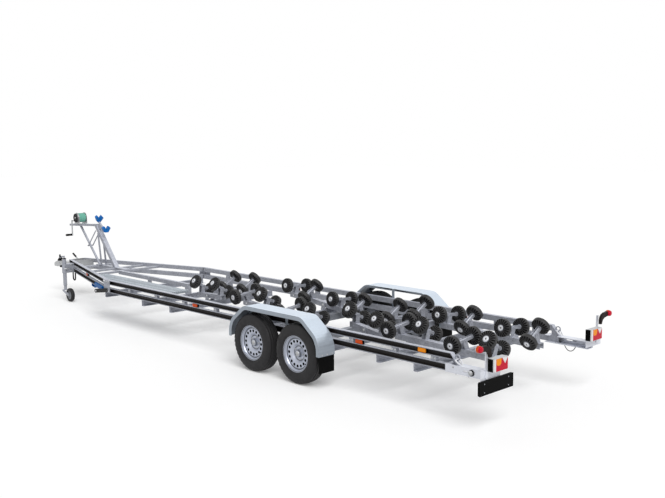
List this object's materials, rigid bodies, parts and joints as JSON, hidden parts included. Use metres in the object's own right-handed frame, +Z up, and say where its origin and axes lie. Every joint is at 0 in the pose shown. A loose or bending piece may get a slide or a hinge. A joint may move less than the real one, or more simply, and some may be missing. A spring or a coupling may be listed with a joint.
{
  "type": "boat trailer",
  "caption": "Long tandem-axle boat trailer with rocking roller cradles, winch stand, bow stops, fenders, jockey wheel and rear light carriers.",
  "frame": {"origin": "bottom centre of the whole trailer, on the ground", "axes": "+X to the right-hand side, +Y forward to the coupling, +Z up"},
  "size_m": [2.238, 9.955, 1.4105],
  "materials": {
    "galvanised": "hot-dip galvanised steel with soft spangle",
    "sheet": "bright galvanised sheet",
    "rubber": "hard black rubber",
    "tyre": "black tyre rubber",
    "rim": "silver painted pressed steel",
    "coupling": "zinc plated steel, black handle",
    "winch": "zinc plated winch with dark gear",
    "blue": "blue polyurethane",
    "lamp": "red and amber lenses on black bases",
    "plate": "black plastic"
  },
  "bodies": {
    "frame": {"upper_rails": "galvanised", "lower_rails": "galvanised", "rail_plates": "galvanised", "walkway": "galvanised", "axles": "galvanised", "fenders": "sheet", "mudflaps": "rubber", "coupling": "coupling", "handbrake": "coupling", "winch_stand": "galvanised", "winch": "winch", "bow_stops": "blue", "light_arms": "galvanised", "lamps": "lamp", "plate_board": "plate", "wheel_chock": "blue", "cross_beams": "galvanised"},
    "cradle_front_left": {"cradle_front_left": "galvanised"},
    "cradle_front_left_level_1": {"cradle_front_left_level_1": "rubber"},
    "cradle_front_left_tilted_1": {"cradle_front_left_tilted_1": "rubber"},
    "cradle_front_left_level_2": {"cradle_front_left_level_2": "rubber"},
    "cradle_front_left_tilted_2": {"cradle_front_left_tilted_2": "rubber"},
    "cradle_rear_left": {"cradle_rear_left": "galvanised"},
    "cradle_rear_left_level_1": {"cradle_rear_left_level_1": "rubber"},
    "cradle_rear_left_tilted_1": {"cradle_rear_left_tilted_1": "rubber"},
    "cradle_rear_left_level_2": {"cradle_rear_left_level_2": "rubber"},
    "cradle_rear_left_tilted_2": {"cradle_rear_left_tilted_2": "rubber"},
    "bow_cradle_left": {"bow_cradle_left": "galvanised"},
    "bow_cradle_left_1": {"bow_cradle_left_1": "rubber"},
    "bow_cradle_left_2": {"bow_cradle_left_2": "rubber"},
    "keel_cradle_left": {"keel_cradle_left": "galvanised"},
    "keel_cradle_left_1": {"keel_cradle_left_1": "rubber"},
    "keel_cradle_left_2": {"keel_cradle_left_2": "rubber"},
    "cradle_front_right": {"cradle_front_right": "galvanised"},
    "cradle_front_right_level_1": {"cradle_front_right_level_1": "rubber"},
    "cradle_front_right_tilted_1": {"cradle_front_right_tilted_1": "rubber"},
    "cradle_front_right_level_2": {"cradle_front_right_level_2": "rubber"},
    "cradle_front_right_tilted_2": {"cradle_front_right_tilted_2": "rubber"},
    "cradle_rear_right": {"cradle_rear_right": "galvanised"},
    "cradle_rear_right_level_1": {"cradle_rear_right_level_1": "rubber"},
    "cradle_rear_right_tilted_1": {"cradle_rear_right_tilted_1": "rubber"},
    "cradle_rear_right_level_2": {"cradle_rear_right_level_2": "rubber"},
    "cradle_rear_right_tilted_2": {"cradle_rear_right_tilted_2": "rubber"},
    "bow_cradle_right": {"bow_cradle_right": "galvanised"},
    "bow_cradle_right_1": {"bow_cradle_right_1": "rubber"},
    "bow_cradle_right_2": {"bow_cradle_right_2": "rubber"},
    "keel_cradle_right": {"keel_cradle_right": "galvanised"},
    "keel_cradle_right_1": {"keel_cradle_right_1": "rubber"},
    "keel_cradle_right_2": {"keel_cradle_right_2": "rubber"},
    "wheel_front_left": {"tyre_front_left": "tyre", "rim_front_left": "rim"},
    "wheel_rear_left": {"tyre_rear_left": "tyre", "rim_rear_left": "rim"},
    "wheel_front_right": {"tyre_front_right": "tyre", "rim_front_right": "rim"},
    "wheel_rear_right": {"tyre_rear_right": "tyre", "rim_rear_right": "rim"},
    "jockey_leg": {"jockey_leg": "galvanised"},
    "jockey_fork": {"jockey_fork": "galvanised"},
    "jockey_wheel": {"jockey_wheel": "rubber"}
  },
  "joints": [
    {"name": "cradle_front_left_rock", "type": "hinge", "parent": "frame", "child": "cradle_front_left", "pos_m": [-0.385, -1.5075, 0.518], "axis": [1, 0, 0], "range_deg": [-5, 5]},
    {"name": "cradle_front_left_level_1_spin", "type": "hinge", "parent": "cradle_front_left", "child": "cradle_front_left_level_1", "pos_m": [-0.42, -0.9305, 0.68648], "axis": [-0.9925, 0, -0.1219], "continuous": true},
    {"name": "cradle_front_left_tilted_1_spin", "type": "hinge", "parent": "cradle_front_left", "child": "cradle_front_left_tilted_1", "pos_m": [-0.35, -1.2665, 0.65708], "axis": [-0.8572, 0, 0.515], "continuous": true},
    {"name": "cradle_front_left_level_2_spin", "type": "hinge", "parent": "cradle_front_left", "child": "cradle_front_left_level_2", "pos_m": [-0.42, -1.7645, 0.61352], "axis": [-0.9925, 0, -0.1219], "continuous": true},
    {"name": "cradle_front_left_tilted_2_spin", "type": "hinge", "parent": "cradle_front_left", "child": "cradle_front_left_tilted_2", "pos_m": [-0.35, -2.1215, 0.58228], "axis": [-0.8572, 0, 0.515], "continuous": true},
    {"name": "cradle_rear_left_rock", "type": "hinge", "parent": "frame", "child": "cradle_rear_left", "pos_m": [-0.37, -4.0475, 0.518], "axis": [1, 0, 0], "range_deg": [-5, 5]},
    {"name": "cradle_rear_left_level_1_spin", "type": "hinge", "parent": "cradle_rear_left", "child": "cradle_rear_left_level_1", "pos_m": [-0.405, -3.4375, 0.65197], "axis": [-0.9925, 0, -0.1219], "continuous": true},
    {"name": "cradle_rear_left_tilted_1_spin", "type": "hinge", "parent": "cradle_rear_left", "child": "cradle_rear_left_tilted_1", "pos_m": [-0.335, -3.7525, 0.64372], "axis": [-0.8572, 0, 0.515], "continuous": true},
    {"name": "cradle_rear_left_level_2_spin", "type": "hinge", "parent": "cradle_rear_left", "child": "cradle_rear_left_level_2", "pos_m": [-0.405, -4.2525, 0.63063], "axis": [-0.9925, 0, -0.1219], "continuous": true},
    {"name": "cradle_rear_left_tilted_2_spin", "type": "hinge", "parent": "cradle_rear_left", "child": "cradle_rear_left_tilted_2", "pos_m": [-0.335, -4.5675, 0.62238], "axis": [-0.8572, 0, 0.515], "continuous": true},
    {"name": "bow_cradle_left_rock", "type": "hinge", "parent": "frame", "child": "bow_cradle_left", "pos_m": [-0.238, 0.0825, 0.518], "axis": [1, 0, 0], "range_deg": [-13, 17]},
    {"name": "bow_cradle_left_1_spin", "type": "hinge", "parent": "bow_cradle_left", "child": "bow_cradle_left_1", "pos_m": [-0.228, 0.2595, 0.62982], "axis": [-0.8572, 0, 0.515], "continuous": true},
    {"name": "bow_cradle_left_2_spin", "type": "hinge", "parent": "bow_cradle_left", "child": "bow_cradle_left_2", "pos_m": [-0.228, -0.1605, 0.64449], "axis": [-0.8572, 0, 0.515], "continuous": true},
    {"name": "keel_cradle_left_rock", "type": "hinge", "parent": "frame", "child": "keel_cradle_left", "pos_m": [-0.315, -2.8875, 0.518], "axis": [1, 0, 0], "range_deg": [-23, 7]},
    {"name": "keel_cradle_left_1_spin", "type": "hinge", "parent": "keel_cradle_left", "child": "keel_cradle_left_1", "pos_m": [-0.305, -2.7255, 0.65877], "axis": [-0.8572, 0, 0.515], "continuous": true},
    {"name": "keel_cradle_left_2_spin", "type": "hinge", "parent": "keel_cradle_left", "child": "keel_cradle_left_2", "pos_m": [-0.305, -3.1175, 0.60368], "axis": [-0.8572, 0, 0.515], "continuous": true},
    {"name": "cradle_front_right_rock", "type": "hinge", "parent": "frame", "child": "cradle_front_right", "pos_m": [0.385, -1.5075, 0.518], "axis": [1, 0, 0], "range_deg": [-5, 5]},
    {"name": "cradle_front_right_level_1_spin", "type": "hinge", "parent": "cradle_front_right", "child": "cradle_front_right_level_1", "pos_m": [0.42, -0.9305, 0.68648], "axis": [0.9925, 0, -0.1219], "continuous": true},
    {"name": "cradle_front_right_tilted_1_spin", "type": "hinge", "parent": "cradle_front_right", "child": "cradle_front_right_tilted_1", "pos_m": [0.35, -1.2665, 0.65708], "axis": [0.8572, 0, 0.515], "continuous": true},
    {"name": "cradle_front_right_level_2_spin", "type": "hinge", "parent": "cradle_front_right", "child": "cradle_front_right_level_2", "pos_m": [0.42, -1.7645, 0.61352], "axis": [0.9925, 0, -0.1219], "continuous": true},
    {"name": "cradle_front_right_tilted_2_spin", "type": "hinge", "parent": "cradle_front_right", "child": "cradle_front_right_tilted_2", "pos_m": [0.35, -2.1215, 0.58228], "axis": [0.8572, 0, 0.515], "continuous": true},
    {"name": "cradle_rear_right_rock", "type": "hinge", "parent": "frame", "child": "cradle_rear_right", "pos_m": [0.37, -4.0475, 0.518], "axis": [1, 0, 0], "range_deg": [-5, 5]},
    {"name": "cradle_rear_right_level_1_spin", "type": "hinge", "parent": "cradle_rear_right", "child": "cradle_rear_right_level_1", "pos_m": [0.405, -3.4375, 0.65197], "axis": [0.9925, 0, -0.1219], "continuous": true},
    {"name": "cradle_rear_right_tilted_1_spin", "type": "hinge", "parent": "cradle_rear_right", "child": "cradle_rear_right_tilted_1", "pos_m": [0.335, -3.7525, 0.64372], "axis": [0.8572, 0, 0.515], "continuous": true},
    {"name": "cradle_rear_right_level_2_spin", "type": "hinge", "parent": "cradle_rear_right", "child": "cradle_rear_right_level_2", "pos_m": [0.405, -4.2525, 0.63063], "axis": [0.9925, 0, -0.1219], "continuous": true},
    {"name": "cradle_rear_right_tilted_2_spin", "type": "hinge", "parent": "cradle_rear_right", "child": "cradle_rear_right_tilted_2", "pos_m": [0.335, -4.5675, 0.62238], "axis": [0.8572, 0, 0.515], "continuous": true},
    {"name": "bow_cradle_right_rock", "type": "hinge", "parent": "frame", "child": "bow_cradle_right", "pos_m": [0.238, 0.0825, 0.518], "axis": [1, 0, 0], "range_deg": [-13, 17]},
    {"name": "bow_cradle_right_1_spin", "type": "hinge", "parent": "bow_cradle_right", "child": "bow_cradle_right_1", "pos_m": [0.228, 0.2595, 0.62982], "axis": [0.8572, 0, 0.515], "continuous": true},
    {"name": "bow_cradle_right_2_spin", "type": "hinge", "parent": "bow_cradle_right", "child": "bow_cradle_right_2", "pos_m": [0.228, -0.1605, 0.64449], "axis": [0.8572, 0, 0.515], "continuous": true},
    {"name": "keel_cradle_right_rock", "type": "hinge", "parent": "frame", "child": "keel_cradle_right", "pos_m": [0.315, -2.8875, 0.518], "axis": [1, 0, 0], "range_deg": [-3, 27]},
    {"name": "keel_cradle_right_1_spin", "type": "hinge", "parent": "keel_cradle_right", "child": "keel_cradle_right_1", "pos_m": [0.305, -2.7255, 0.60157], "axis": [0.8572, 0, 0.515], "continuous": true},
    {"name": "keel_cradle_right_2_spin", "type": "hinge", "parent": "keel_cradle_right", "child": "keel_cradle_right_2", "pos_m": [0.305, -3.1175, 0.68489], "axis": [0.8572, 0, 0.515], "continuous": true},
    {"name": "wheel_front_left_spin", "type": "hinge", "parent": "frame", "child": "wheel_front_left", "pos_m": [-0.9895, -1.84, 0.325], "axis": [1, 0, 0], "continuous": true},
    {"name": "wheel_rear_left_spin", "type": "hinge", "parent": "frame", "child": "wheel_rear_left", "pos_m": [-0.9895, -2.575, 0.325], "axis": [1, 0, 0], "continuous": true},
    {"name": "wheel_front_right_spin", "type": "hinge", "parent": "frame", "child": "wheel_front_right", "pos_m": [0.9895, -1.84, 0.325], "axis": [1, 0, 0], "continuous": true},
    {"name": "wheel_rear_right_spin", "type": "hinge", "parent": "frame", "child": "wheel_rear_right", "pos_m": [0.9895, -2.575, 0.325], "axis": [1, 0, 0], "continuous": true},
    {"name": "jockey_height", "type": "slide", "parent": "frame", "child": "jockey_leg", "axis": [0, 0, 1], "range_m": [0, 0.18]},
    {"name": "jockey_swivel", "type": "hinge", "parent": "jockey_leg", "child": "jockey_fork", "pos_m": [-0.4015, 3.8725, 0.18], "axis": [0, 0, 1], "continuous": true},
    {"name": "jockey_wheel_spin", "type": "hinge", "parent": "jockey_fork", "child": "jockey_wheel", "pos_m": [-0.4015, 3.7075, 0.11], "axis": [1, 0, 0], "continuous": true}
  ]
}
